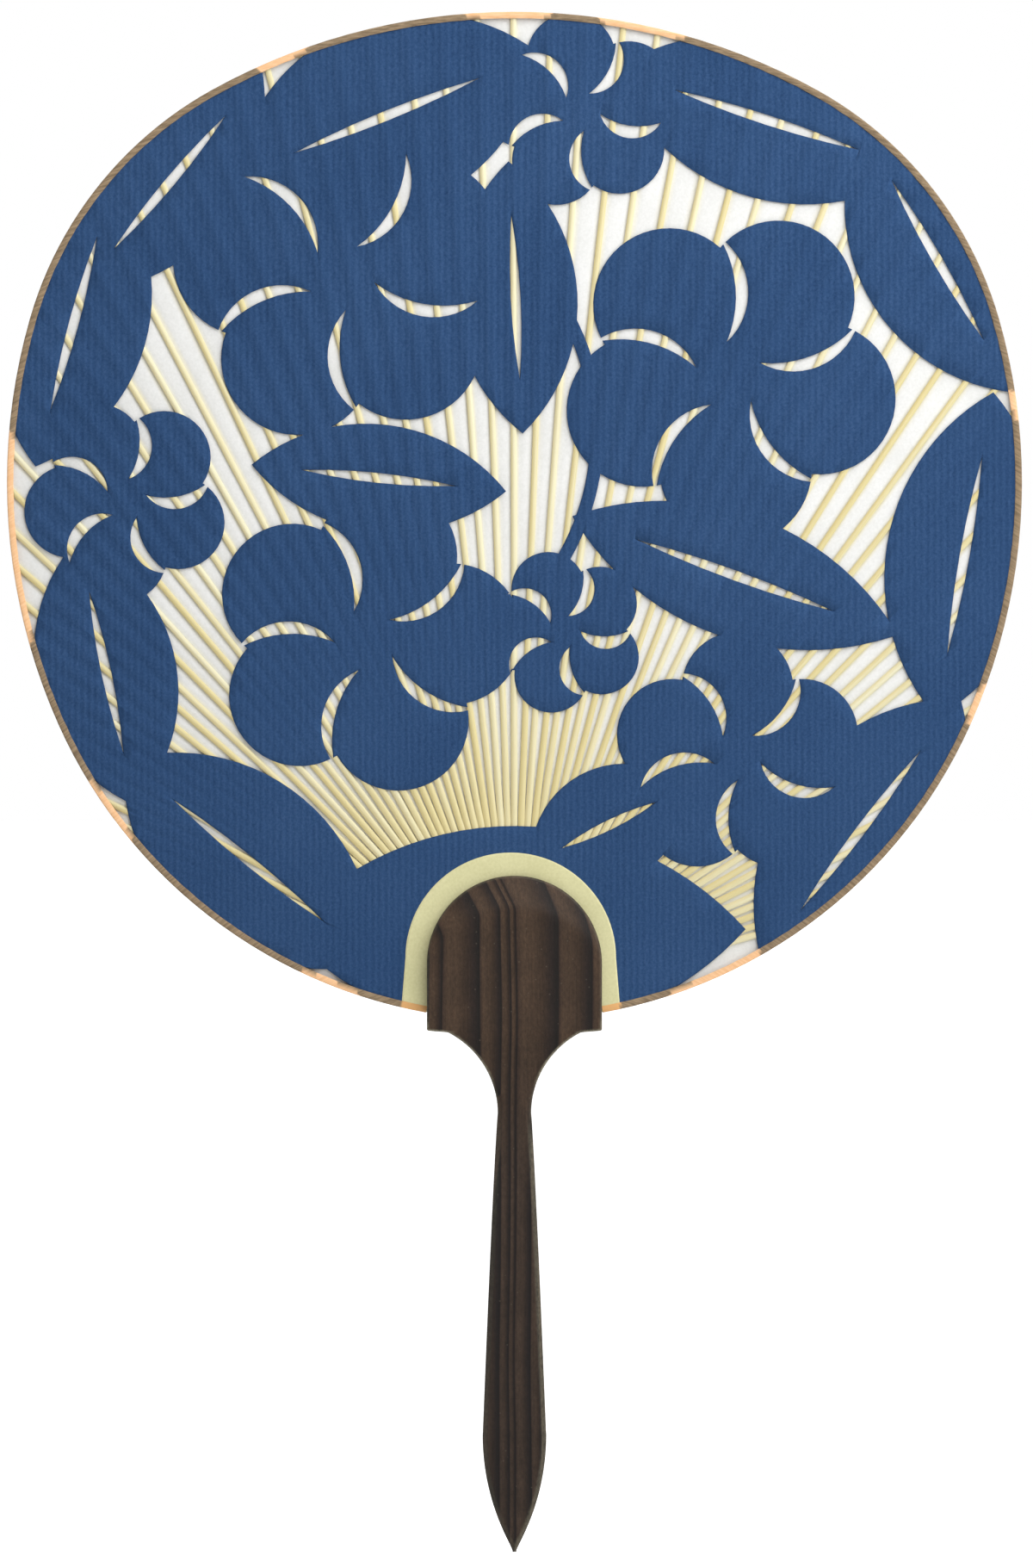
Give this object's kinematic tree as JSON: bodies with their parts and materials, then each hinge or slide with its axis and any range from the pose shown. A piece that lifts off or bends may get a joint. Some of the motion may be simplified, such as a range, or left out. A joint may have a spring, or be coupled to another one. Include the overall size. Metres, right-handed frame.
{
  "type": "hand fan",
  "caption": "Round rigid hand fan: a cut front paper over thin bamboo ribs and a plain back paper, with paper collars, a rim strip and a slotted, tapering wooden handle.",
  "frame": {"origin": "middle of the handle's blade, halfway along the grip, where a hand closes round it", "axes": "+Z along the handle from its tip towards the face, -Y out of the cut front side, +X to the right as one looks at the front"},
  "size_m": [0.2458, 0.0096, 0.3728],
  "materials": {
    "handle_wood": "satin",
    "blue_paper": "matte",
    "white_paper": "matte",
    "collar_paper": "matte",
    "strip_paper": "matte",
    "bamboo": "satin"
  },
  "bodies": {
    "root": {"handle": "handle_wood", "front_paper": "blue_paper", "back_paper": "white_paper", "front_collar": "collar_paper", "back_collar": "collar_paper", "rim_strip": "strip_paper", "middle_rib": "bamboo", "rib_pair_01": "bamboo", "rib_pair_02": "bamboo", "rib_pair_03": "bamboo", "rib_pair_04": "bamboo", "rib_pair_05": "bamboo", "rib_pair_06": "bamboo", "rib_pair_07": "bamboo", "rib_pair_08": "bamboo", "rib_pair_09": "bamboo", "rib_pair_10": "bamboo", "rib_pair_11": "bamboo", "rib_pair_12": "bamboo", "rib_pair_13": "bamboo", "rib_pair_14": "bamboo", "rib_pair_15": "bamboo", "rib_pair_16": "bamboo", "rib_pair_17": "bamboo", "rib_pair_18": "bamboo", "rib_pair_19": "bamboo", "rib_pair_20": "bamboo", "rib_pair_21": "bamboo", "rib_pair_22": "bamboo", "rib_pair_23": "bamboo", "rib_pair_24": "bamboo", "rib_pair_25": "bamboo", "rib_pair_26": "bamboo", "rib_pair_27": "bamboo", "rib_pair_28": "bamboo", "rib_pair_29": "bamboo", "rib_pair_30": "bamboo", "rib_pair_31": "bamboo", "rib_pair_32": "bamboo", "rib_pair_33": "bamboo", "rib_pair_34": "bamboo", "rib_pair_35": "bamboo"}
  },
  "joints": []
}
